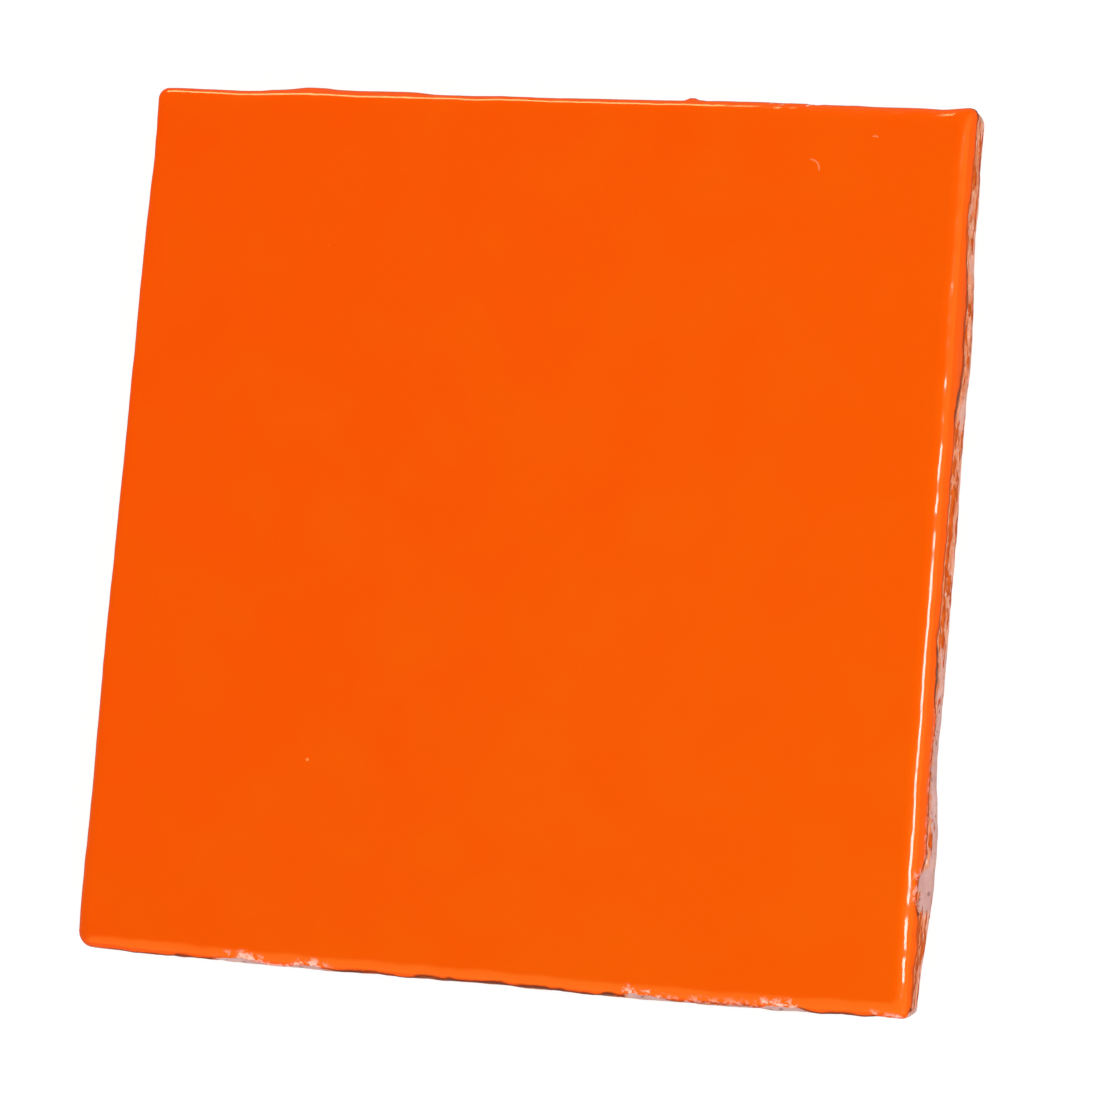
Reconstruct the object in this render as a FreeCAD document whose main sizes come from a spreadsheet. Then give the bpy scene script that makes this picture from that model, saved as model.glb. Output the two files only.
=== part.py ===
# Square glazed wall tile, fired in one piece.
#
# The tile lies flat with its glazed face up. The origin is the centre of its back face, +Z points out of the
# glazed face, and the sides run along X and Y. Lengths are in millimetres.
import FreeCAD, Part
import os
import Sketcher

# Driving dimensions: alias, value, what it is.
DIMENSIONS = (
    ("side_length", 108.0, "outside width and height of the square tile"),
    ("tile_thickness", 6.35, "back face to glazed face"),
    ("corner_radius", 1.5, "rounding of the square's four corners, seen from the front"),
    ("rim_radius", 2.2, "glazed rim, where the face rolls over into the side"),
    ("back_arris", 0.4, "small worn chamfer round the back face"),
)

# A sketch's size before its constraints bind it to the sheet.
SKETCH_START = 100.0

FLAT_TOLERANCE = 1e-6


def make_dimension_sheet(doc):
    """Puts each driving dimension in a cell with an alias, beside what it means."""
    sheet = doc.addObject("Spreadsheet::Sheet", "sizes")
    for row, (alias, value, meaning) in enumerate(DIMENSIONS, start=1):
        sheet.set(f"A{row}", alias)
        sheet.set(f"B{row}", str(value))
        sheet.set(f"C{row}", meaning)
        sheet.setAlias(f"B{row}", alias)
    doc.recompute()
    return sheet


def origin_plane(body, role):
    """The origin plane of a body with that role, such as XY_Plane."""
    return next(plane for plane in body.Origin.OriginFeatures if plane.Role == role)


def add_square_sketch(body):
    """Sketches the outline: a square centred on the origin, on the back face's plane."""
    sketch = body.newObject("Sketcher::SketchObject", "outline")
    sketch.AttachmentSupport = [(origin_plane(body, "XY_Plane"), "")]
    sketch.MapMode = "FlatFace"
    corners = [(-1, -1), (1, -1), (1, 1), (-1, 1)]
    points = [FreeCAD.Vector(x, y, 0) * (SKETCH_START / 2) for x, y in corners]
    for start, end in zip(points, points[1:] + points[:1]):
        sketch.addGeometry(Part.LineSegment(start, end), False)
    for side in range(4):
        sketch.addConstraint(Sketcher.Constraint("Coincident", side, 2, (side + 1) % 4, 1))
    bottom, right, top, left = range(4)
    for side in (bottom, top):
        sketch.addConstraint(Sketcher.Constraint("Horizontal", side))
    for side in (right, left):
        sketch.addConstraint(Sketcher.Constraint("Vertical", side))
    # The origin, point 1 of geometry -1, lies midway between opposite corners.
    sketch.addConstraint(Sketcher.Constraint("Symmetric", bottom, 1, top, 1, -1, 1))
    sketch.addConstraint(Sketcher.Constraint("Equal", bottom, right))
    width = sketch.addConstraint(Sketcher.Constraint("Distance", bottom, SKETCH_START))
    sketch.renameConstraint(width, "side_length")
    sketch.setExpression("Constraints.side_length", "sizes.side_length")
    return sketch


def add_slab(body, sketch):
    """Pads the outline up to the glazed face."""
    slab = body.newObject("PartDesign::Pad", "slab")
    slab.Profile = sketch
    slab.setExpression("Length", "sizes.tile_thickness")
    sketch.Visibility = False


def edges_where(feature, wanted):
    """Names of the feature's edges whose bounding box passes a test."""
    edges = feature.Shape.Edges
    return [f"Edge{number}" for number, edge in enumerate(edges, start=1) if wanted(edge.BoundBox)]


def upright(box):
    return box.XLength < FLAT_TOLERANCE and box.YLength < FLAT_TOLERANCE


def level_at(height):
    """A test for edges that lie level at a height."""
    return lambda box: box.ZLength < FLAT_TOLERANCE and abs(box.ZMax - height) < FLAT_TOLERANCE


def dress_edges(body, kind, name, wanted, alias):
    """Adds a Fillet or Chamfer to the last feature's edges that pass a test, its size bound to the sheet."""
    base = body.Tip
    feature = body.newObject(f"PartDesign::{kind}", name)
    feature.Base = (base, edges_where(base, wanted))
    size_name = "Radius" if kind == "Fillet" else "Size"
    feature.setExpression(size_name, f"sizes.{alias}")
    body.Document.recompute()


def make_tile(doc, sheet):
    """The whole tile: a square slab with rounded corners, a rolled glazed rim and a worn back edge."""
    body = doc.addObject("PartDesign::Body", "tile")
    body.Label = "tile"
    add_slab(body, add_square_sketch(body))
    doc.recompute()
    face_height = float(sheet.tile_thickness)
    dress_edges(body, "Fillet", "corners", upright, "corner_radius")
    dress_edges(body, "Fillet", "rim", level_at(face_height), "rim_radius")
    dress_edges(body, "Chamfer", "arris", level_at(0.0), "back_arris")
    return body


def check_and_export(doc, bodies):
    """Stops on any failed object or bad shape, then writes each body to parts/LABEL.step."""
    doc.recompute()
    for item in doc.Objects:
        if "Invalid" in item.State or "Error" in item.State:
            raise RuntimeError(f"{item.Name} failed: {item.State}")
    os.makedirs("parts", exist_ok=True)
    for body in bodies:
        shape = body.Shape
        if shape.isNull() or not shape.isValid() or len(shape.Solids) != 1:
            raise RuntimeError(f"{body.Label} has no valid single solid")
        box = shape.BoundBox
        size = f"{box.XLength:.3f} x {box.YLength:.3f} x {box.ZLength:.3f} mm"
        print(f"{body.Label}: {size}, {shape.Volume:.1f} mm3")
        shape.exportStep(f"parts/{body.Label}.step")


def main():
    doc = FreeCAD.newDocument("glazed_tile")
    sheet = make_dimension_sheet(doc)
    tile = make_tile(doc, sheet)
    check_and_export(doc, [tile])


main()
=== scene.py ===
# %% [markdown]
# # A glazed wall tile
#
# The object is one square ceramic tile: a slab of pink clay that was fired with a glossy orange glaze on its
# face. The glaze rolls over the rim, runs a little way down the sides and stops at a ragged line, below which
# the bare clay shows. Only the glaze's edge, the clay and the light make such a simple thing look real, so
# that is where the work goes.

# %% Load the frame
import math

import bpy
from mathutils import Matrix, Vector


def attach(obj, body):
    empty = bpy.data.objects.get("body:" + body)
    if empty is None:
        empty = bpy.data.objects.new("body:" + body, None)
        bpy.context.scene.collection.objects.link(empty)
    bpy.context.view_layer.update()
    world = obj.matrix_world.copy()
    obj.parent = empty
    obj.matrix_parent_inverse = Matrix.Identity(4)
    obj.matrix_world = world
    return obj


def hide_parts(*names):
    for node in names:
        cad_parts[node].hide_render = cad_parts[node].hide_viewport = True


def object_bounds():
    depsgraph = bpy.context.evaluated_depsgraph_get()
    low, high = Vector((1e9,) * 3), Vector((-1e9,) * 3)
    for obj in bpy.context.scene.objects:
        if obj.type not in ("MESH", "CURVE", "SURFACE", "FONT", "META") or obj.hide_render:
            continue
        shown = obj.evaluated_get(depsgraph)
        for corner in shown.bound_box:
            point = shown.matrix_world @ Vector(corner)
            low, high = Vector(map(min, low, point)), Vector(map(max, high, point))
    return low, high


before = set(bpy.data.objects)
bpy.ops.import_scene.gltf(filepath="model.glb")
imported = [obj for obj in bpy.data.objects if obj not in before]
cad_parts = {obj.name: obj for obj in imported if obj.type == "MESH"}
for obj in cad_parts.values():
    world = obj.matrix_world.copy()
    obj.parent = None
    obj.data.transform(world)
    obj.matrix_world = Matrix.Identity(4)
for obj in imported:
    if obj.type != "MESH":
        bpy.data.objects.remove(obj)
cad_low, cad_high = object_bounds()
MM = 0.001
half_side = cad_high.x
thickness = cad_high.z
print(f"tile {2 * half_side / MM:.1f} mm square, {thickness / MM:.2f} mm thick")

# %% [markdown]
# ## Small tools
#
# Geometry and materials are both trees of nodes, so one function adds a node of any kind. Its inputs are given
# by name or in order, and an input that is itself a node or a socket gets linked. Colours are written as hex
# values, the way a paint chart gives them, and turned into the linear values that a renderer adds and multiplies.


# %% One function that adds a node
def add(tree, kind, inputs=(), **settings):
    """Adds a node. Inputs come by name, or by order among those in use; a node or socket in them is linked."""
    node = tree.nodes.new(kind)
    for name, value in settings.items():
        setattr(node, name, value)
    in_use = [socket for socket in node.inputs if socket.enabled]
    pairs = inputs.items() if isinstance(inputs, dict) else enumerate(inputs)
    for key, value in pairs:
        socket = in_use[key] if isinstance(key, int) else next(s for s in in_use if s.name == key)
        if isinstance(value, bpy.types.Node):
            value = next(s for s in value.outputs if s.enabled)
        if isinstance(value, bpy.types.NodeSocket):
            tree.links.new(value, socket)
        elif value is not None:
            socket.default_value = value
    return node


# %% Colour from a hex value
def linear(hex_value):
    """An sRGB hex value such as "F85A02" as linear red, green, blue and alpha."""
    parts = [int(hex_value[i : i + 2], 16) / 255 for i in (0, 2, 4)]
    return tuple(p / 12.92 if p <= 0.04045 else ((p + 0.055) / 1.055) ** 2.4 for p in parts) + (1.0,)


def per_metre(size_mm):
    """The scale that gives a pattern features of this size."""
    return 1 / (size_mm * MM)


# %% [markdown]
# ## The tile's section
#
# A tile is its square outline swept by its section, as a moulding is. The section is drawn as four points, from
# the back to the face, each with the radius that rounds it. The wall leans in towards the back, as pressed clay
# does to come out of its mould. The outline is drawn a little inside the full width, because the edge stands out
# past it in places and nothing may pass the full width.

# %% Sizes of the section
SWELL_ROOM = 0.80 * MM  # left free outside the outline for what stands proud
WALL_DRAFT = 0.85 * MM  # how far the wall leans in at the back
RIM_RADIUS = 2.2 * MM
BACK_RADIUS = 0.5 * MM
BACK_BORDER = 1.8 * MM  # how far the band reaches in under the back
FACE_BORDER = 3.0 * MM  # how far the band reaches into the face
WAVE_ROOM = 0.03 * MM  # left free above the face for its slow wave

outline_half = half_side - SWELL_ROOM
face_height = thickness - WAVE_ROOM
section_points = (
    (-BACK_BORDER, 0.0, 0.0),
    (-WALL_DRAFT, 0.0, BACK_RADIUS),
    (0.0, face_height, RIM_RADIUS),
    (-FACE_BORDER, face_height, 0.0),
)
section_data = bpy.data.curves.new("section", "CURVE")
section_data.dimensions = "3D"
section_spline = section_data.splines.new("POLY")
section_spline.points.add(len(section_points) - 1)
for point, (outward, height, radius) in zip(section_spline.points, section_points):
    point.co = (outward, 0.0, height, 1.0)
    point.radius = radius
section_object = bpy.data.objects.new("section", section_data)
bpy.context.scene.collection.objects.link(section_object)
print(f"section {face_height / MM:.2f} mm high, rim radius {RIM_RADIUS / MM:.1f} mm, draft {WALL_DRAFT / MM:.2f} mm")

# %% [markdown]
# ## Marks round the edge
#
# Nobody makes two such tiles alike. The glaze line wanders, drips reach further down, thin places stop short on
# the rim, splashes hang below the line, and the clay swells in places. Each of these is one mark with a place, a
# reach to each side of it and its effects, and everything between the marks is left to noise. A mark is stored as
# a vertex that carries its values, so that the node tree can read them one by one.

# %% Glaze marks: side, place along it, reach, run further down, standing proud, splashes below the line
GLAZE_MARKS = (
    ("right", 44.0, 9.5, 0.1, 0.0, 0.9),
    ("right", 27.0, 9.0, 1.1, 0.0, 0.3),
    ("right", 8.0, 9.5, 0.1, 0.0, 0.8),
    ("right", -5.0, 6.0, -0.1, 0.0, 0.6),
    ("right", -26.0, 12.0, 1.0, 0.0, -0.5),
    ("right", -38.5, 3.0, -0.5, 0.0, -0.6),
    ("right", -47.0, 7.0, 0.2, 0.0, 0.9),
    ("bottom", 0.0, 62.0, -0.55, 0.0, 0.0),
    ("bottom", 20.0, 40.0, -0.42, 0.0, 0.0),
    ("bottom", -31.0, 4.0, -0.5, 0.0, -1.2),
    ("bottom", -26.5, 9.0, -0.2, 0.0, -0.9),
    ("bottom", -22.5, 2.5, -0.5, 0.0, -1.2),
    ("bottom", 20.5, 2.4, -0.5, 0.0, -1.4),
    ("bottom", 29.0, 12.0, -0.1, 0.0, -0.6),
    ("bottom", 38.0, 2.8, -0.5, 0.0, -1.4),
    ("bottom", 51.5, 2.6, -0.4, 0.0, -1.4),
    ("top", -26.0, 11.0, 0.4, 0.30, 0.0),
    ("top", -34.4, 5.4, 0.3, 0.14, 0.0),
    ("top", 17.6, 1.3, 0.2, 0.12, 0.0),
    ("top", 17.4, 0.7, 0.0, 0.22, 0.0),
    ("top", 28.5, 1.1, -1.1, 0.0, -1.0),
    ("top", 33.1, 1.0, -1.1, 0.0, -1.0),
    ("top", 45.0, 7.0, 0.9, -0.10, 0.0),
    ("left", 30.0, 9.0, 1.1, 0.0, 0.6),
    ("left", 8.0, 7.0, -0.7, 0.0, 0.0),
    ("left", -16.0, 5.0, 1.6, 0.0, 0.7),
    ("left", -38.0, 10.0, 0.5, 0.0, 0.4),
)

# %% Clay marks: side, place along it, reach, shift of the whole edge outwards, swelling of the wall's foot
CLAY_MARKS = (
    ("right", 55.0, 5.0, 0.32, 0.0),
    ("right", 47.0, 10.0, 0.0, 0.22),
    ("right", 40.0, 12.0, 0.0, 0.28),
    ("right", 27.0, 12.5, 0.0, 0.70),
    ("right", 16.0, 5.0, 0.0, 0.14),
    ("right", 8.0, 8.0, 0.0, 0.12),
    ("right", -2.0, 40.0, 0.10, 0.62),
    ("right", -36.0, 15.0, 0.12, 0.92),
    ("left", 54.0, 20.0, -0.62, 0.0),
    ("left", -54.0, 12.0, -0.18, 0.0),
    ("left", 0.0, 44.0, -0.01, 0.35),
    ("left", -24.0, 20.0, 0.12, 0.0),
    ("top", -51.0, 11.0, 0.44, 0.0),
    ("top", -48.0, 22.0, 0.18, 0.0),
    ("top", -27.0, 14.0, 0.0, 0.40),
    ("top", 27.0, 14.0, 0.18, 0.0),
    ("top", 42.0, 12.0, 0.14, 0.0),
    ("bottom", -52.0, 24.0, 0.36, 0.0),
    ("bottom", -26.0, 26.0, 0.62, 0.30),
    ("bottom", -14.0, 6.0, -0.14, 0.0),
    ("bottom", 0.0, 26.0, 0.54, 0.30),
    ("bottom", 27.0, 26.0, 0.70, 0.20),
    ("bottom", 52.0, 26.0, 0.32, 0.0),
)

# %% Marks as vertices that carry their values
mark_objects = {}
for name, marks, value_names in (
    ("Glaze marks", GLAZE_MARKS, ("reach", "run", "proud", "splash")),
    ("Clay marks", CLAY_MARKS, ("reach", "shift", "bulge")),
):
    mesh = bpy.data.meshes.new(name)
    places = []
    for side, along, *_ in marks:
        along, across = along * MM, outline_half
        places.append({"right": (across, along, 0.0), "left": (-across, along, 0.0),
                       "top": (along, across, 0.0), "bottom": (along, -across, 0.0)}[side])
    mesh.from_pydata(places, [], [])
    for column, value_name in enumerate(value_names, start=2):
        layer = mesh.attributes.new(value_name, "FLOAT", "POINT")
        layer.data.foreach_set("value", [mark[column] * MM for mark in marks])
    mark_objects[name] = bpy.data.objects.new(name, mesh)
    bpy.context.scene.collection.objects.link(mark_objects[name])
    print(f"{len(marks)} {name.lower()}, each with {', '.join(value_names)}")

# %% [markdown]
# ## The node tree
#
# Two grids become the tile: one is the face, and one is the band that wraps round all four sides, from the face
# border to the back. A row of the band follows the glaze line exactly, so that the two materials meet in a crisp
# edge. The corners are rounded afterwards by one rule for the whole mesh, then relief is added: slow waves on the
# glaze, a step where it ends, bulging clay, and a rough wall.

# %% The tree and its named inputs
tree = bpy.data.node_groups.new("glazed tile", "GeometryNodeTree")
tree.interface.new_socket("Tile", in_out="OUTPUT", socket_type="NodeSocketGeometry")
NUMBERS = {
    "Half width": outline_half,
    "Face height": face_height,
    "Face border": FACE_BORDER,
    "Taper": 0.32 * MM,
    "Corner radius": 1.1 * MM,
    "Worn left corners": 1.7,
    "Glaze line": 5.05 * MM,
    "Glaze wander": 0.50 * MM,
    "Glaze ragged": 0.22 * MM,
    "Glaze thickness": 0.12 * MM,
    "Wiped rim": 0.48,
    "Rim unevenness": 0.10,
    "Rim ripple": 0.036 * MM,
    "Rim beads": 0.022 * MM,
    "Face wave": 0.02 * MM,
    "Wall lumps": 0.08 * MM,
    "Wall crust": 0.12 * MM,
    "Wall grain": 0.05 * MM,
}
CELLS_PER_SIDE = 200
ROWS_BELOW, ROWS_ABOVE = 22, 26
FILLET_STEPS = 24
MERGE_DISTANCE = 0.002 * MM
FAR_ABOVE_LINE = -10 * MM
SEED = 7.0
sockets = {}
for label in NUMBERS:
    sockets[label] = tree.interface.new_socket(label, in_out="INPUT", socket_type="NodeSocketFloat")
for label in ("Section", "Glaze marks", "Clay marks"):
    sockets[label] = tree.interface.new_socket(label, in_out="INPUT", socket_type="NodeSocketObject")
for label in ("Glaze", "Bare clay"):
    sockets[label] = tree.interface.new_socket(label, in_out="INPUT", socket_type="NodeSocketMaterial")
given = add(tree, "NodeGroupInput").outputs
MATH, VECTOR, RANGE, NOISE = "ShaderNodeMath", "ShaderNodeVectorMath", "ShaderNodeMapRange", "ShaderNodeTexNoise"
NAMED, POSITION = "GeometryNodeInputNamedAttribute", "GeometryNodeInputPosition"
SPLIT, COMBINE, STORE = "ShaderNodeSeparateXYZ", "ShaderNodeCombineXYZ", "GeometryNodeStoreNamedAttribute"
print(f"{len(sockets)} named inputs")

# %% The face, a square grid
face_half = add(tree, MATH, (given["Half width"], given["Face border"]), operation="SUBTRACT")
face_width = add(tree, MATH, (face_half, 2.0), operation="MULTIPLY")
count = CELLS_PER_SIDE + 1
face_grid = add(tree, "GeometryNodeMeshGrid", (face_width, face_width, count, count))
face_lift = add(tree, COMBINE, {"Z": given["Face height"]})
face = add(tree, "GeometryNodeTransform", {"Geometry": face_grid.outputs["Mesh"], "Translation": face_lift})
face = add(tree, STORE, {"Geometry": face, "Name": "under_line", "Value": FAR_ABOVE_LINE}, data_type="FLOAT")
print(f"face of {CELLS_PER_SIDE} by {CELLS_PER_SIDE} cells")

# %% The band's columns run round the outline, its rows follow the section
columns, rows = 4 * CELLS_PER_SIDE + 1, ROWS_BELOW + ROWS_ABOVE + 1
band_grid = add(tree, "GeometryNodeMeshGrid", (1.0, 1.0, columns, rows)).outputs["Mesh"]
cell = add(tree, SPLIT, (add(tree, POSITION),)).outputs
round_factor = add(tree, MATH, (cell["X"], 0.5), operation="ADD")
row_factor = add(tree, MATH, (cell["Y"], 0.5), operation="ADD")
square = add(tree, "GeometryNodeCurvePrimitiveQuadrilateral", (2.0, 2.0), mode="RECTANGLE")
on_square = add(
    tree, "GeometryNodeSampleCurve", {"Curves": square, "Factor": round_factor}, mode="FACTOR", use_all_curves=True
).outputs["Position"]
on_outline = add(tree, VECTOR, {"Vector": on_square, "Scale": given["Half width"]}, operation="SCALE")
section = add(tree, "GeometryNodeObjectInfo", {"Object": given["Section"]}).outputs["Geometry"]
point_radius = add(tree, "GeometryNodeInputRadius")
fillet = {"Curve": section, "Count": FILLET_STEPS, "Radius": point_radius}
rounded_section = add(tree, "GeometryNodeFilletCurve", fillet, mode="POLY")
section_length = add(tree, "GeometryNodeCurveLength", (rounded_section,))

# %% [markdown]
# Each mark pulls fully on the middle of its reach and lets go smoothly towards the end of it. A repeat zone goes
# through the marks one by one and adds what they do, so marks may overlap.

# %% What all the marks together do at each place on the outline
effect = {}
for label, marks, core, value_names in (
    ("Glaze marks", GLAZE_MARKS, 0.6, ("run", "proud", "splash")),
    ("Clay marks", CLAY_MARKS, 0.1, ("shift", "bulge")),
):
    vertices = add(tree, "GeometryNodeObjectInfo", {"Object": given[label]}).outputs["Geometry"]
    zone_start, zone_end = add(tree, "GeometryNodeRepeatInput"), add(tree, "GeometryNodeRepeatOutput")
    zone_start.pair_with_output(zone_end)
    zone_end.repeat_items.clear()
    for name in value_names:
        zone_end.repeat_items.new("FLOAT", name)
    zone_start.inputs["Iterations"].default_value = len(marks)
    turn = zone_start.outputs["Iteration"]
    ask = {"Geometry": vertices, "Value": add(tree, POSITION), "Index": turn}
    centre = add(tree, "GeometryNodeSampleIndex", ask, data_type="FLOAT_VECTOR")
    away = add(tree, VECTOR, (on_outline, centre), operation="DISTANCE").outputs["Value"]
    read = {}
    for name in ("reach", *value_names):
        ask = {"Geometry": vertices, "Value": add(tree, NAMED, {"Name": name}, data_type="FLOAT"), "Index": turn}
        read[name] = add(tree, "GeometryNodeSampleIndex", ask, data_type="FLOAT")
    full = add(tree, MATH, (read["reach"], core), operation="MULTIPLY")
    pull = add(tree, RANGE, (away, read["reach"], full), interpolation_type="SMOOTHSTEP")
    for name in value_names:
        total = add(tree, MATH, (read[name], pull, zone_start.outputs[name]), operation="MULTIPLY_ADD")
        tree.links.new(total.outputs[0], zone_end.inputs[name])
        effect[name] = zone_end.outputs[name]
print(f"marks give {', '.join(effect)}")

# %% The wandering, ragged glaze line
line = given["Glaze line"]
for size_mm, detail, amount in ((6.0, 2.0, "Glaze wander"), (1.5, 3.0, "Glaze ragged")):
    noise = add(tree, NOISE, {"Vector": on_outline, "W": SEED, "Scale": per_metre(size_mm), "Detail": detail},
                noise_dimensions="4D")
    swing = add(tree, RANGE, (noise, 0.25, 0.75, -1.0, 1.0))
    line = add(tree, MATH, (swing, given[amount], line), operation="MULTIPLY_ADD")
line = add(tree, MATH, (line, effect["run"]), operation="SUBTRACT")

# %% Rows below and above the glaze line
split = ROWS_BELOW / (ROWS_BELOW + ROWS_ABOVE)
below_part = add(tree, RANGE, (row_factor, 0.0, split, 0.0, 1.0))
above_part = add(tree, RANGE, (row_factor, split, 1.0, 0.0, 1.0))
above_length = add(tree, MATH, (section_length, line), operation="SUBTRACT")
below_path = add(tree, MATH, (below_part, line), operation="MULTIPLY")
path = add(tree, MATH, (above_part, above_length, below_path), operation="MULTIPLY_ADD")
at_path = {"Curves": rounded_section, "Length": path}
on_section = add(tree, "GeometryNodeSampleCurve", at_path, mode="LENGTH", use_all_curves=True).outputs["Position"]
section_parts = add(tree, SPLIT, (on_section,)).outputs
under_line = add(tree, MATH, (line, path), operation="SUBTRACT")
print(f"{ROWS_BELOW} rows of clay and {ROWS_ABOVE} rows of glaze")

# %% [markdown]
# The rim is tighter along the top and the left, where the glaze was wiped. On the square outline Y - X is 0 to 2
# on just those two sides, so it says where to squeeze. The squeeze fades towards the face, so that the band still
# meets the face grid.

# %% The band's place, with a tighter rim on two sides and the shift of the whole edge
side = add(tree, SPLIT, (on_square,)).outputs
wiped = add(tree, MATH, (side["Y"], side["X"]), operation="SUBTRACT")
rim_width = add(tree, RANGE, (wiped, 0.0, 0.8, 1.0, given["Wiped rim"]), interpolation_type="SMOOTHSTEP")
fat_and_thin = add(tree, NOISE, {"Vector": on_outline, "W": SEED + 2.0, "Scale": per_metre(5.0), "Detail": 1.0},
                   noise_dimensions="4D")
fat_and_thin = add(tree, RANGE, (fat_and_thin, 0.3, 0.7, -1.0, 1.0))
fat_and_thin = add(tree, MATH, (fat_and_thin, given["Rim unevenness"], 1.0), operation="MULTIPLY_ADD")
rim_width = add(tree, MATH, (rim_width, fat_and_thin), operation="MULTIPLY")
into_face = add(tree, MATH, (section_parts["X"], given["Face border"]), operation="DIVIDE")
into_face = add(tree, MATH, (into_face, into_face), operation="MULTIPLY")
rest = add(tree, MATH, (1.0, rim_width), operation="SUBTRACT")
squeeze = add(tree, MATH, (rest, into_face, rim_width), operation="MULTIPLY_ADD")
spread = add(tree, MATH, (section_parts["X"], squeeze, given["Half width"]), operation="MULTIPLY_ADD")
near_edge = add(tree, MATH, (1.0, into_face), operation="SUBTRACT")
spread = add(tree, MATH, (effect["shift"], near_edge, spread), operation="MULTIPLY_ADD")
band_flat = add(tree, VECTOR, {"Vector": on_square, "Scale": spread}, operation="SCALE")
band_height = add(tree, COMBINE, {"Z": section_parts["Z"]})
band_place = add(tree, VECTOR, (band_flat, band_height), operation="ADD")
band = band_grid
kept = {"under_line": under_line, "proud": effect["proud"], "bulge": effect["bulge"], "splash": effect["splash"]}
for name, value in kept.items():
    band = add(tree, STORE, {"Geometry": band, "Name": name, "Value": value}, data_type="FLOAT")
band = add(tree, "GeometryNodeSetPosition", {"Geometry": band, "Position": band_place})
print(f"band of {columns - 1} columns and {rows - 1} rows")

# %% Close the back and join the shell
open_shell = add(tree, "GeometryNodeJoinGeometry")
for part in (face, band):
    tree.links.new(part.outputs[0], open_shell.inputs["Geometry"])
open_shell = add(tree, "GeometryNodeMergeByDistance", {"Geometry": open_shell, "Distance": MERGE_DISTANCE})
neighbours = add(tree, "GeometryNodeInputMeshEdgeNeighbors")
open_edge = add(tree, "FunctionNodeCompare", {"A": neighbours, "B": 1}, data_type="INT", operation="EQUAL")
back_ring = add(tree, "GeometryNodeMeshToCurve", {"Mesh": open_shell, "Selection": open_edge})
back = add(tree, "GeometryNodeFillCurve", {"Curve": back_ring}, mode="NGONS")
back = add(tree, "GeometryNodeFlipFaces", {"Mesh": back})
shell = add(tree, "GeometryNodeJoinGeometry")
for part in (open_shell, back):
    tree.links.new(part.outputs[0], shell.inputs["Geometry"])
shell = add(tree, "GeometryNodeMergeByDistance", {"Geometry": shell, "Distance": MERGE_DISTANCE})
print("back closed with one flat face")

# %% [markdown]
# Seen from the front, a corner is rounded by pulling every point of the square ring it lies on towards a circle
# about an inner corner. The radius fades to nothing inside the face, and is larger at the worn left corners, most
# of all at the bottom one.

# %% Round the corners
place = add(tree, POSITION)
parts = add(tree, SPLIT, (place,)).outputs
level = add(tree, VECTOR, (place, (1.0, 1.0, 0.0)), operation="MULTIPLY")
height = add(tree, VECTOR, (place, (0.0, 0.0, 1.0)), operation="MULTIPLY")
size = add(tree, SPLIT, (add(tree, VECTOR, (level,), operation="ABSOLUTE"),)).outputs
ring_half = add(tree, MATH, (size["X"], size["Y"]), operation="MAXIMUM")
fade_from = add(tree, MATH, (given["Corner radius"], -5.0, given["Half width"]), operation="MULTIPLY_ADD")
toward_worn = add(tree, MATH, (parts["Y"], 0.6, parts["X"]), operation="MULTIPLY_ADD")
worn_end = add(tree, MATH, (given["Half width"], -1.6), operation="MULTIPLY")
worn = add(tree, RANGE, (toward_worn, 0.0, worn_end, 1.0, given["Worn left corners"]))
worn_radius = add(tree, MATH, (worn, given["Corner radius"]), operation="MULTIPLY")
radius = add(tree, RANGE, (ring_half, fade_from, given["Half width"], 0.001 * MM, worn_radius))
core = add(tree, MATH, (ring_half, radius), operation="SUBTRACT")
core_top = add(tree, COMBINE, (core, core, 0.0))
core_bottom = add(tree, VECTOR, {"Vector": core_top, "Scale": -1.0}, operation="SCALE")
inner = add(tree, VECTOR, (level, core_top), operation="MINIMUM")
inner = add(tree, VECTOR, (inner, core_bottom), operation="MAXIMUM")
outward = add(tree, VECTOR, (level, inner), operation="SUBTRACT")
outward = add(tree, VECTOR, (outward,), operation="NORMALIZE")
rounding = add(tree, VECTOR, {"Vector": outward, "Scale": radius}, operation="SCALE")
rounded = add(tree, VECTOR, (inner, rounding), operation="ADD")
rounded = add(tree, VECTOR, (rounded, height), operation="ADD")
shell = add(tree, STORE, {"Geometry": shell, "Name": "outward", "Value": outward}, data_type="FLOAT_VECTOR")
shell = add(tree, "GeometryNodeSetPosition", {"Geometry": shell, "Position": rounded})

# %% [markdown]
# ## Relief
#
# Six kinds of noise, from slow waves to grain, swing from about -1 to 1, and each is scaled by its named input.
# The wall's relief pushes outwards, and the glaze's ripples push along its normal. On the face all of it has faded
# out but the slow wave.

# %% The noises of the relief
waves = {}
for shift, (name, size_mm, detail, amount) in enumerate((
    ("lumps", 9.0, 2.0, "Wall lumps"),
    ("crust", 1.9, 2.0, "Wall crust"),
    ("grain", 1.1, 3.0, "Wall grain"),
    ("ripple", 7.0, 1.0, "Rim ripple"),
    ("beads", 1.9, 1.0, "Rim beads"),
    ("wave", 24.0, 1.0, "Face wave"),
)):
    noise = add(tree, NOISE, {"Vector": add(tree, POSITION), "W": SEED + shift, "Scale": per_metre(size_mm),
                "Detail": detail}, noise_dimensions="4D")
    swing = add(tree, RANGE, (noise, 0.2, 0.8, -1.0, 1.0))
    waves[name] = add(tree, MATH, (swing, given[amount]), operation="MULTIPLY")
print(f"relief from {', '.join(waves)}")

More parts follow.
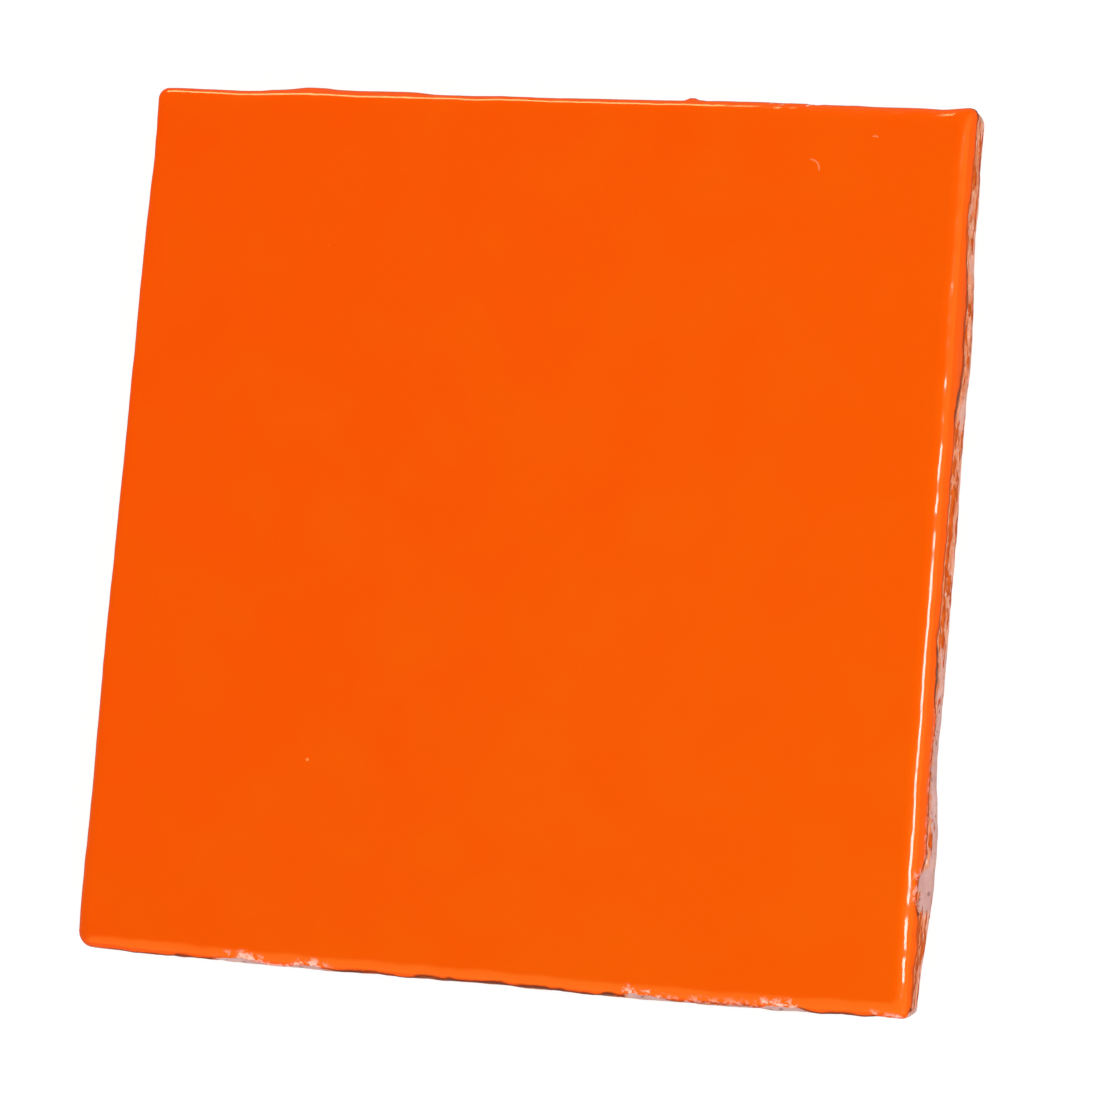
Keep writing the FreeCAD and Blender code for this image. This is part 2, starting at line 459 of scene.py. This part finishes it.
# %% Where each kind of relief acts: by height, and by how far below the glaze line
here = add(tree, SPLIT, (add(tree, POSITION),)).outputs
stored = {name: add(tree, NAMED, {"Name": name}, data_type="FLOAT") for name in kept}
rim_foot = face_height - RIM_RADIUS
acts = {}
for name, value, start, end in (
    ("wall", here["Z"], face_height - 0.2 * MM, rim_foot),
    ("foot", here["Z"], rim_foot, 1.2 * MM),
    ("rim", here["Z"], face_height - 0.01 * MM, face_height - 0.5 * MM),
    ("above foot", here["Z"], 0.5 * MM, rim_foot),
    ("clay", stored["under_line"], 0.0, 0.22 * MM),
    ("past crust", stored["under_line"], 1.3 * MM, 2.0 * MM),
):
    acts[name] = add(tree, RANGE, (value, start, end), interpolation_type="SMOOTHSTEP")

# %% How far each place of the wall stands out
in_crust = add(tree, MATH, (acts["clay"], acts["past crust"]), operation="SUBTRACT")
out = add(tree, MATH, (waves["crust"], in_crust, waves["lumps"]), operation="MULTIPLY_ADD")
out = add(tree, MATH, (waves["grain"], acts["clay"], out), operation="MULTIPLY_ADD")
out = add(tree, MATH, (out, stored["proud"]), operation="ADD")
out = add(tree, MATH, (out, acts["wall"]), operation="MULTIPLY")
out = add(tree, MATH, (stored["bulge"], acts["foot"], out), operation="MULTIPLY_ADD")
step = add(tree, MATH, (acts["clay"], given["Glaze thickness"]), operation="MULTIPLY")
out = add(tree, MATH, (out, step), operation="SUBTRACT")
outward_now = add(tree, NAMED, {"Name": "outward"}, data_type="FLOAT_VECTOR")
push = add(tree, VECTOR, {"Vector": outward_now, "Scale": out}, operation="SCALE")

# %% The glaze's ripples on the rim and slow waves on the face
ripples = add(tree, MATH, (waves["ripple"], waves["beads"]), operation="ADD")
swell = add(tree, MATH, (ripples, acts["rim"], waves["wave"]), operation="MULTIPLY_ADD")
swell = add(tree, MATH, (swell, acts["above foot"]), operation="MULTIPLY")
along_normal = add(tree, VECTOR, {"Vector": add(tree, "GeometryNodeInputNormal"), "Scale": swell}, operation="SCALE")
moved = add(tree, VECTOR, (push, along_normal), operation="ADD")
moved = add(tree, VECTOR, (moved, add(tree, POSITION)), operation="ADD")

# %% A slight taper towards the top, and nothing outside the full size
moved_parts = add(tree, SPLIT, (moved,)).outputs
taper = add(tree, MATH, (given["Taper"], given["Half width"]), operation="DIVIDE")
taper = add(tree, MATH, (taper, given["Half width"]), operation="DIVIDE")
narrower = add(tree, MATH, (taper, moved_parts["Y"]), operation="MULTIPLY")
narrower = add(tree, MATH, (1.0, narrower), operation="SUBTRACT")
narrow_x = add(tree, MATH, (moved_parts["X"], narrower), operation="MULTIPLY")
moved = add(tree, COMBINE, (narrow_x, moved_parts["Y"], moved_parts["Z"]))
HAIR = 0.003 * MM
edge = half_side - HAIR
moved = add(tree, VECTOR, (moved, (edge, edge, thickness)), operation="MINIMUM")
moved = add(tree, VECTOR, (moved, (-edge, -edge, 0.0)), operation="MAXIMUM")
shell = add(tree, "GeometryNodeSetPosition", {"Geometry": shell, "Position": moved})

# %% Materials by the glaze line, and the tree's end
shell = add(tree, "GeometryNodeSetShadeSmooth", {"Geometry": shell})
shell = add(tree, "GeometryNodeRealizeInstances", {"Geometry": shell})
shell = add(tree, "GeometryNodeSetMaterial", {"Geometry": shell, "Material": given["Glaze"]})
BACK_TOP = 0.02 * MM
JUST_BELOW = 0.0001 * MM
is_back = add(tree, MATH, (here["Z"], BACK_TOP), operation="LESS_THAN")
bare = add(tree, MATH, (stored["under_line"], JUST_BELOW), operation="GREATER_THAN")
bare = add(tree, MATH, (bare, is_back), operation="MAXIMUM")
clay_end = {"Geometry": shell, "Selection": bare, "Material": given["Bare clay"]}
shell = add(tree, "GeometryNodeSetMaterial", clay_end)
tree.links.new(shell.outputs["Geometry"], add(tree, "NodeGroupOutput").inputs[0])
print(f"{len(tree.nodes)} nodes in the tile's tree")

# %% [markdown]
# ## Materials
#
# Colours are the real ones, as they would be measured under white light, except for some painted light and shade:
# the glaze's slope from the top left to the bottom right, part of the maroon at the glaze line, and the pale glints
# near it. In the clay, the pale glints in the crust and part of the dark seam under the line are painted too.
# Nothing in them knows about the camera. Pattern sizes are millimetres on the tile, in the object's own coordinates.

# %% The glaze's colour: a little deeper towards the top left and lighter towards the bottom right, which is painted light; cloudy; and maroon where it pools at its edge, partly painted shade under the rim
# Orange cadmium glaze, brushed on and fired to full gloss. Its index of refraction is about 1.5.
glaze = bpy.data.materials.new("orange_cadmium_glaze")
glaze.use_nodes = True
paint = glaze.node_tree
paint.nodes.clear()
MIX, ATTRIBUTE, BUMP, VORONOI = "ShaderNodeMix", "ShaderNodeAttribute", "ShaderNodeBump", "ShaderNodeTexVoronoi"
CERAMIC_IOR = 1.5
on_tile = add(paint, "ShaderNodeTexCoord").outputs["Object"]
# Painted light: the orange gets lighter towards the bottom right, as if a lamp stood nearer that corner.
painted_light_slope = add(paint, VECTOR, (on_tile, (0.62, -0.38, 0.0)), operation="DOT_PRODUCT").outputs["Value"]
painted_light_slope = add(paint, RANGE, (painted_light_slope, -half_side, half_side, 0.0, 1.0))
colour = add(paint, MIX, {"Factor": painted_light_slope, "A": linear("F85101"), "B": linear("F85D02")}, data_type="RGBA")
clouds = add(paint, NOISE, {"Vector": on_tile, "Scale": per_metre(9.0), "Detail": 4.0})
clouds = add(paint, RANGE, (clouds, 0.35, 0.75, 0.0, 0.25))
colour = add(paint, MIX, {"Factor": clouds, "A": colour, "B": linear("F26806")}, data_type="RGBA")
glaze_line = add(paint, ATTRIBUTE, attribute_name="under_line").outputs["Fac"]
ragged = add(paint, NOISE, {"Vector": on_tile, "Scale": per_metre(2.2), "Detail": 3.0})
splashed = add(paint, ATTRIBUTE, attribute_name="splash").outputs["Fac"]
# Maroon at the glaze line: partly the darker glaze that pools at its edge, partly painted shade on the rim's
# underside, which takes little light.
pool_and_shade_full = add(paint, RANGE, (splashed, -1.0 * MM, -0.3 * MM, 0.1, 0.95))
pool_and_shade_faint = add(paint, RANGE, (splashed, 0.1 * MM, 0.5 * MM, 0.95, 0.45))
pool_and_shade_full = add(paint, MATH, (pool_and_shade_full, pool_and_shade_faint), operation="MINIMUM")
pool_and_shade_from = add(paint, RANGE, (ragged, 0.35, 0.65, -0.70 * MM, -0.35 * MM))
pool_and_shade = add(paint, RANGE, (glaze_line, pool_and_shade_from, -0.1 * MM, 0.0, pool_and_shade_full))
colour = add(paint, MIX, {"Factor": pool_and_shade, "A": colour, "B": linear("5C180C")}, data_type="RGBA")

# %% Thin places: pale specks where the glaze barely covers the clay, partly the clay showing through and partly painted glints
thin_and_glints = add(paint, RANGE, (splashed, -0.2 * MM, -1.0 * MM, 0.0, 1.0))
thin_and_glint_depth = add(paint, RANGE, (glaze_line, -1.2 * MM, -0.5 * MM, 0.0, 1.0))
specks_and_glints = add(paint, NOISE, {"Vector": on_tile, "Scale": per_metre(0.9), "Detail": 4.0, "Roughness": 0.65})
specks_and_glints = add(paint, RANGE, (specks_and_glints, 0.48, 0.58, 0.0, 0.85))
thin_and_glints = add(paint, MATH, (thin_and_glints, thin_and_glint_depth), operation="MULTIPLY")
thin_and_glints = add(paint, MATH, (thin_and_glints, specks_and_glints), operation="MULTIPLY")
colour = add(paint, MIX, {"Factor": thin_and_glints, "A": colour, "B": linear("FFCABC")}, data_type="RGBA")

# %% The glaze's pinholes: small pits where gas escaped, in a few of the cells of a 12 mm pattern
pits = add(paint, VORONOI, {"Vector": on_tile, "Scale": per_metre(12.0)})
pit_size = add(paint, SPLIT, (pits.outputs["Color"],)).outputs["X"]
pit_size = add(paint, RANGE, (pit_size, 0.62, 1.0, 0.0, 0.022))
pit = add(paint, MATH, (pits.outputs["Distance"], pit_size), operation="LESS_THAN")
colour = add(paint, MIX, {"Factor": pit, "A": colour, "B": linear("FF8A3A")}, data_type="RGBA")

# %% Two faint scratches near the top right, where something hard slipped: place and radius of each arc in mm
scratch = None
for x_mm, y_mm, radius_mm, way in ((33.3, 45.1, 1.1, (0.75, 0.66, 0.0)), (41.0, 48.8, 0.4, (0.1, 0.99, 0.0))):
    from_centre = add(paint, VECTOR, (on_tile, (x_mm * MM, y_mm * MM, 0.0)), operation="SUBTRACT")
    from_centre = add(paint, VECTOR, (from_centre, (1.0, 1.0, 0.0)), operation="MULTIPLY")
    ring_away = add(paint, VECTOR, (from_centre,), operation="LENGTH").outputs["Value"]
    ring_away = add(paint, MATH, (ring_away, radius_mm * MM), operation="SUBTRACT")
    ring_away = add(paint, MATH, (ring_away,), operation="ABSOLUTE")
    on_arc = add(paint, RANGE, (ring_away, 0.14 * MM, 0.04 * MM, 0.0, 1.0))
    arc_way = add(paint, VECTOR, (from_centre, way), operation="DOT_PRODUCT").outputs["Value"]
    arc_part = add(paint, RANGE, (arc_way, 0.55 * radius_mm * MM, 0.75 * radius_mm * MM, 0.0, 0.6))
    arc = add(paint, MATH, (on_arc, arc_part), operation="MULTIPLY")
    scratch = add(paint, MATH, (scratch, arc), operation="MAXIMUM") if scratch else arc
colour = add(paint, MIX, {"Factor": scratch, "A": colour, "B": linear("FF9C66")}, data_type="RGBA")

# %% The glaze's surface: glossy, with the orange-peel of a brushed coat
peel = add(paint, NOISE, {"Vector": on_tile, "Scale": per_metre(1.6), "Detail": 2.0})
peel = add(paint, BUMP, {"Strength": 0.25, "Distance": 0.012 * MM, "Height": peel})
marred = add(paint, MATH, (pit, scratch), operation="MAXIMUM")
dull = add(paint, RANGE, (marred, 0.0, 1.0, 0.085, 0.35))
surface = add(paint, "ShaderNodeBsdfPrincipled", {"Base Color": colour, "Roughness": dull, "IOR": CERAMIC_IOR,
              "Normal": peel})
paint.links.new(surface.outputs[0], add(paint, "ShaderNodeOutputMaterial").inputs["Surface"])
print(f"{glaze.name}: {len(paint.nodes)} nodes")

# %% The bare clay's colour: salmon bisque with darker grains
# Pink earthenware fired to bisque: matte and porous, a mix of salmon clay and darker grog. Index about 1.5.
clay = bpy.data.materials.new("pink_bisque_earthenware")
clay.use_nodes = True
body = clay.node_tree
body.nodes.clear()
on_tile = add(body, "ShaderNodeTexCoord").outputs["Object"]
patches = add(body, NOISE, {"Vector": on_tile, "Scale": per_metre(4.0), "Detail": 5.0, "Roughness": 0.6})
patches = add(body, RANGE, (patches, 0.3, 0.7, 0.0, 1.0))
colour = add(body, MIX, {"Factor": patches, "A": linear("C6968F"), "B": linear("DAAFA8")}, data_type="RGBA")
grog = add(body, VORONOI, {"Vector": on_tile, "Scale": per_metre(0.7)})
grog_size = add(body, SPLIT, (grog.outputs["Color"],)).outputs["Y"]
grog_size = add(body, RANGE, (grog_size, 0.72, 1.0, 0.0, 0.5))
grain = add(body, MATH, (grog.outputs["Distance"], grog_size), operation="LESS_THAN")
grain = add(body, MATH, (grain, 0.7), operation="MULTIPLY")
colour = add(body, MIX, {"Factor": grain, "A": colour, "B": linear("8A5A52")}, data_type="RGBA")

# %% The stained crust under the glaze line: thin glaze that soaked into the clay, orange and speckled; the pale specks are partly pale grains and partly painted glints
below_line = add(body, ATTRIBUTE, attribute_name="under_line").outputs["Fac"]
ragged = add(body, NOISE, {"Vector": on_tile, "Scale": per_metre(2.0), "Detail": 4.0, "Roughness": 0.65})
splashed = add(body, ATTRIBUTE, attribute_name="splash").outputs["Fac"]
crust_end = add(body, RANGE, (ragged, 0.35, 0.65, 0.9 * MM, 2.2 * MM))
crust_end = add(body, MATH, (splashed, 1.6, crust_end), operation="MULTIPLY_ADD")
crust_end = add(body, MATH, (crust_end, 0.02 * MM), operation="MAXIMUM")
crust_core = add(body, MATH, (crust_end, 0.75), operation="MULTIPLY")
crust = add(body, RANGE, (below_line, crust_end, crust_core))
# The back lay on the kiln shelf and took no glaze.
height = add(body, SPLIT, (on_tile,)).outputs["Z"]
on_side = add(body, RANGE, (height, BACK_TOP, 0.15 * MM, 0.0, 1.0))
crust = add(body, MATH, (crust, on_side), operation="MULTIPLY")
layered = add(body, VECTOR, (on_tile, (1.0, 1.0, 3.6)), operation="MULTIPLY")
crust_patches = add(body, NOISE, {"Vector": layered, "Scale": per_metre(2.0), "Detail": 4.0, "Roughness": 0.6})
crust_patches = add(body, RANGE, (crust_patches, 0.38, 0.60, 0.0, 1.0))
crust_colour = add(body, MIX, {"Factor": crust_patches, "A": linear("E8743A"), "B": linear("F8A27A")},
                   data_type="RGBA")
# Pale specks in the crust: partly pale grains, partly painted glints of glossy grains.
beads = add(body, NOISE, {"Vector": layered, "Scale": per_metre(0.8), "Detail": 3.0, "Roughness": 0.6})
beads = add(body, RANGE, (beads, 0.57, 0.64, 0.0, 0.85))
crust_colour = add(body, MIX, {"Factor": beads, "A": crust_colour, "B": linear("F7D8C8")}, data_type="RGBA")
# A dark seam just under the glaze line: partly the dark edge of the thin glaze, partly painted shade under the rim.
marked = add(body, MATH, (splashed,), operation="ABSOLUTE")
seam_and_shade_end = add(body, RANGE, (marked, 0.0, 0.4 * MM, 1.0 * MM, 0.22 * MM))
seam_and_shade_core = add(body, MATH, (seam_and_shade_end, 0.6), operation="MULTIPLY")
seam_and_shade_full = add(body, RANGE, (splashed, -1.0 * MM, -0.4 * MM, 0.0, 0.85))
seam_and_shade_faint = add(body, RANGE, (splashed, 0.1 * MM, 0.5 * MM, 0.85, 0.45))
seam_and_shade_full = add(body, MATH, (seam_and_shade_full, seam_and_shade_faint), operation="MINIMUM")
seam_and_shade = add(body, RANGE, (below_line, seam_and_shade_end, seam_and_shade_core, 0.0, seam_and_shade_full))
crust_colour = add(body, MIX, {"Factor": seam_and_shade, "A": crust_colour, "B": linear("561A0E")}, data_type="RGBA")
wash = add(body, RANGE, (splashed, -0.4 * MM, 0.5 * MM, 0.0, 0.8))
colour = add(body, MIX, {"Factor": wash, "A": colour, "B": linear("F6AC8E")}, data_type="RGBA")
colour = add(body, MIX, {"Factor": crust, "A": colour, "B": crust_colour}, data_type="RGBA")

# %% Splashes of glaze below the line, where the brush touched the side
blots = add(body, NOISE, {"Vector": layered, "Scale": per_metre(3.4), "Detail": 3.0, "Roughness": 0.5})
blots = add(body, MATH, (splashed, 0.11 / MM, blots), operation="MULTIPLY_ADD")
blots = add(body, MATH, (blots, on_side), operation="MULTIPLY")
splash = add(body, RANGE, (blots, 0.585, 0.60, 0.0, 1.0))
splash_colour = add(body, MIX, {"Factor": crust_patches, "A": linear("D04E08"), "B": linear("F46A12")},
                    data_type="RGBA")
colour = add(body, MIX, {"Factor": splash, "A": colour, "B": splash_colour}, data_type="RGBA")

# %% The clay's surface: pores and grain, smoother where glaze soaked in
pores = add(body, NOISE, {"Vector": on_tile, "Scale": per_metre(0.35), "Detail": 5.0, "Roughness": 0.7})
blot_edge = add(body, RANGE, (blots, 0.57, 0.64, 0.0, 1.5))
grit = add(body, MATH, (pores, blot_edge), operation="ADD")
grit = add(body, MATH, (crust_patches, crust, grit), operation="MULTIPLY_ADD")
grit = add(body, BUMP, {"Strength": 0.9, "Distance": 0.15 * MM, "Height": grit})
roughness = add(body, RANGE, (crust, 0.0, 1.0, 0.88, 0.38))
roughness = add(body, MIX, {"Factor": splash, "A": roughness, "B": 0.10}, data_type="FLOAT")
surface = add(body, "ShaderNodeBsdfPrincipled", {"Base Color": colour, "Roughness": roughness, "IOR": CERAMIC_IOR,
              "Normal": grit})
body.links.new(surface.outputs[0], add(body, "ShaderNodeOutputMaterial").inputs["Surface"])
print(f"{clay.name}: {len(body.nodes)} nodes")

# %% [markdown]
# ## Build it
#
# The tree runs once on an empty holder, and its result is baked into a plain mesh, which takes the place of the
# CAD's tile on the body that it rides on. The bake leaves an empty first material slot, which is taken out.

# %% Build and bake
holder = bpy.data.objects.new("glazed_tile", bpy.data.meshes.new("glazed_tile"))
bpy.context.scene.collection.objects.link(holder)
modifier = holder.modifiers.new("tile", "NODES")
modifier.node_group = tree
chosen = {**NUMBERS, **mark_objects, "Section": section_object, "Glaze": glaze, "Bare clay": clay}
for label, value in chosen.items():
    modifier[sockets[label].identifier] = value
depsgraph = bpy.context.evaluated_depsgraph_get()
tile_mesh = bpy.data.meshes.new_from_object(holder.evaluated_get(depsgraph))
holder.modifiers.clear()
holder.data = tile_mesh
if tile_mesh.materials[0] is None:
    tile_mesh.materials.pop(index=0)
for helper in (section_object, *mark_objects.values()):
    bpy.data.objects.remove(helper)
tile_mesh.calc_loop_triangles()
print(f"{len(tile_mesh.vertices)} vertices, {len(tile_mesh.loop_triangles)} triangles")
print(f"materials: {', '.join(material.name for material in tile_mesh.materials)}")

# %% Hand it to the frame
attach(holder, "root")
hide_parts("tile")

# %% [markdown]
# ## The view
#
# A long lens looks down on the tile from a little to the right, and turned a little, so that the right side shows.

# %% Camera
FOCAL_LENGTH, SENSOR_WIDTH = 184.5, 36.0  # in mm, as on a real camera
LEAN, HEADING, ROLL = (math.radians(angle) for angle in (21.99, -11.01, 4.92))
AIM = Vector((3.81, -1.32, 4.12)) * MM
DISTANCE = 671.6 * MM

camera_data = bpy.data.cameras.new("camera")
camera_data.lens = FOCAL_LENGTH
camera_data.sensor_width = SENSOR_WIDTH
camera_data.clip_start, camera_data.clip_end = 0.01, 20.0
camera = bpy.data.objects.new("camera", camera_data)
bpy.context.scene.collection.objects.link(camera)
to_camera = Vector((math.sin(LEAN) * math.cos(HEADING), math.sin(LEAN) * math.sin(HEADING), math.cos(LEAN)))
up = Vector((0, 1, 0))
up = (up - up.dot(to_camera) * to_camera).normalized()
up = Matrix.Rotation(ROLL, 3, to_camera) @ up
turned = Matrix((up.cross(to_camera), up, to_camera)).transposed().to_4x4()
camera.matrix_world = Matrix.Translation(AIM + to_camera * DISTANCE) @ turned
bpy.context.scene.camera = camera
print(f"camera {(camera.location - AIM).length:.3f} m away")

# %% [markdown]
# ## The studio
#
# The floor is paper that shows as white and takes a faint shadow. It gives soft light back to the sides, but in
# reflections it is dark, so that no white climbs up the glossy rim. Most of the light comes from low down all
# round, a little more of it from the front and the right. A warm card stands towards the front and a smaller one on
# the far right. Both only show in the gloss, as wide soft bands on the rim.

# %% Floor
FLOOR_HALF = 4.0
FLOOR_GAP = 0.02 * MM  # keeps the floor from sharing a plane with the tile's back
floor_mesh = bpy.data.meshes.new("floor")
floor_corners = [(x * FLOOR_HALF, y * FLOOR_HALF, -FLOOR_GAP) for x, y in ((-1, -1), (1, -1), (1, 1), (-1, 1))]
floor_mesh.from_pydata(floor_corners, [], [(0, 1, 2, 3)])
floor = bpy.data.objects.new("floor", floor_mesh)
bpy.context.scene.collection.objects.link(floor)
paper = bpy.data.materials.new("white_paper_sweep")
paper.use_nodes = True
sheet = paper.node_tree
sheet.nodes.clear()
ray = add(sheet, "ShaderNodeLightPath").outputs
pale = add(sheet, "ShaderNodeBsdfDiffuse", {"Color": (0.52, 0.50, 0.48, 1)})
dark = add(sheet, "ShaderNodeBsdfDiffuse", {"Color": (0.16, 0.15, 0.14, 1)})
faint = add(sheet, "ShaderNodeBsdfDiffuse", {"Color": (0.14, 0.14, 0.14, 1)})
white = add(sheet, "ShaderNodeEmission", {"Strength": 0.90})
unseen = add(sheet, "ShaderNodeMixShader", (ray["Is Glossy Ray"], pale, dark))
shown = add(sheet, "ShaderNodeAddShader", (faint, white))
shown = add(sheet, "ShaderNodeMixShader", (ray["Is Camera Ray"], unseen, shown))
sheet.links.new(shown.outputs[0], add(sheet, "ShaderNodeOutputMaterial").inputs["Surface"])
floor_mesh.materials.append(paper)

# %% World: what the gloss sees, the two cards, and what everything else is lit by
world = bpy.data.worlds.new("studio")
bpy.context.scene.world = world
world.use_nodes = True
sky = world.node_tree
sky.nodes.clear()
ray = add(sky, "ShaderNodeLightPath").outputs
toward = add(sky, "ShaderNodeTexCoord").outputs["Generated"]
toward_parts = add(sky, SPLIT, (toward,)).outputs
front = add(sky, VECTOR, (toward, (0.5, -0.87, 0.0)), operation="DOT_PRODUCT").outputs["Value"]
front = add(sky, RANGE, (front, 0.12, 0.36, 0.0, 1.2), interpolation_type="SMOOTHSTEP")
far = add(sky, RANGE, (toward_parts["Y"], 0.085, 0.13, 0.0, 1.0))
right = add(sky, RANGE, (toward_parts["X"], 0.55, 0.75, 0.0, 0.75))
far_right = add(sky, MATH, (far, right), operation="MULTIPLY")
glow = add(sky, MATH, (front, far_right), operation="MAXIMUM")
cards = add(sky, "ShaderNodeBackground", (linear("FFF06C"), glow))
low_light = add(sky, RANGE, (toward_parts["Z"], 0.0, 1.0, 1.98, 0.36))
from_front = add(sky, VECTOR, (toward, (0.12, -0.24, 0.0)), operation="DOT_PRODUCT").outputs["Value"]
low_light = add(sky, MATH, (low_light, from_front, low_light), operation="MULTIPLY_ADD")
even = add(sky, "ShaderNodeBackground", (linear("FFFFFF"), low_light))
plain = add(sky, "ShaderNodeBackground", (linear("FFFFFF"), 1.0))
lit = add(sky, "ShaderNodeMixShader", (ray["Is Glossy Ray"], even, cards))
shown = add(sky, "ShaderNodeMixShader", (ray["Is Camera Ray"], lit, plain))
sky.links.new(shown.outputs[0], add(sky, "ShaderNodeOutputWorld").inputs["Surface"])

# %% [markdown]
# Two lamps: a white one on the right, whose reflection is the bright beaded line on the right rim, and a warm one
# low behind the top edge, which draws the cream line there.

# %% Lamps: name, where its middle stands, length along its edge direction, width, level, colour
for name, middle, along, length, width, level, tint in (
    ("rim lamp", (0.815, 0.030, 0.574), (0, 1, 0), 0.14, 0.22, 18.0, "FFFFFF"),
    ("top strip", (-0.31, 0.62, 0.12), (1, 0, 0), 0.25, 0.20, 11.0, "FFE8A0"),
):
    lamp = bpy.data.lights.new(name, "AREA")
    lamp.shape = "RECTANGLE"
    lamp.size, lamp.size_y = length, width
    lamp.energy = level * math.pi * length * width
    lamp.color = linear(tint)[:3]
    stand = bpy.data.objects.new(name, lamp)
    bpy.context.scene.collection.objects.link(stand)
    facing = Vector(middle).normalized()
    edge_way = Vector(along) - Vector(along).dot(facing) * facing
    edge_way.normalize()
    turned = Matrix((edge_way, facing.cross(edge_way), facing)).transposed().to_4x4()
    stand.matrix_world = Matrix.Translation(middle) @ turned
    print(f"{name}: {lamp.energy:.2f} W at {Vector(middle).length:.2f} m")

# %% Colours shown as they are
bpy.context.scene.view_settings.view_transform = "Standard"
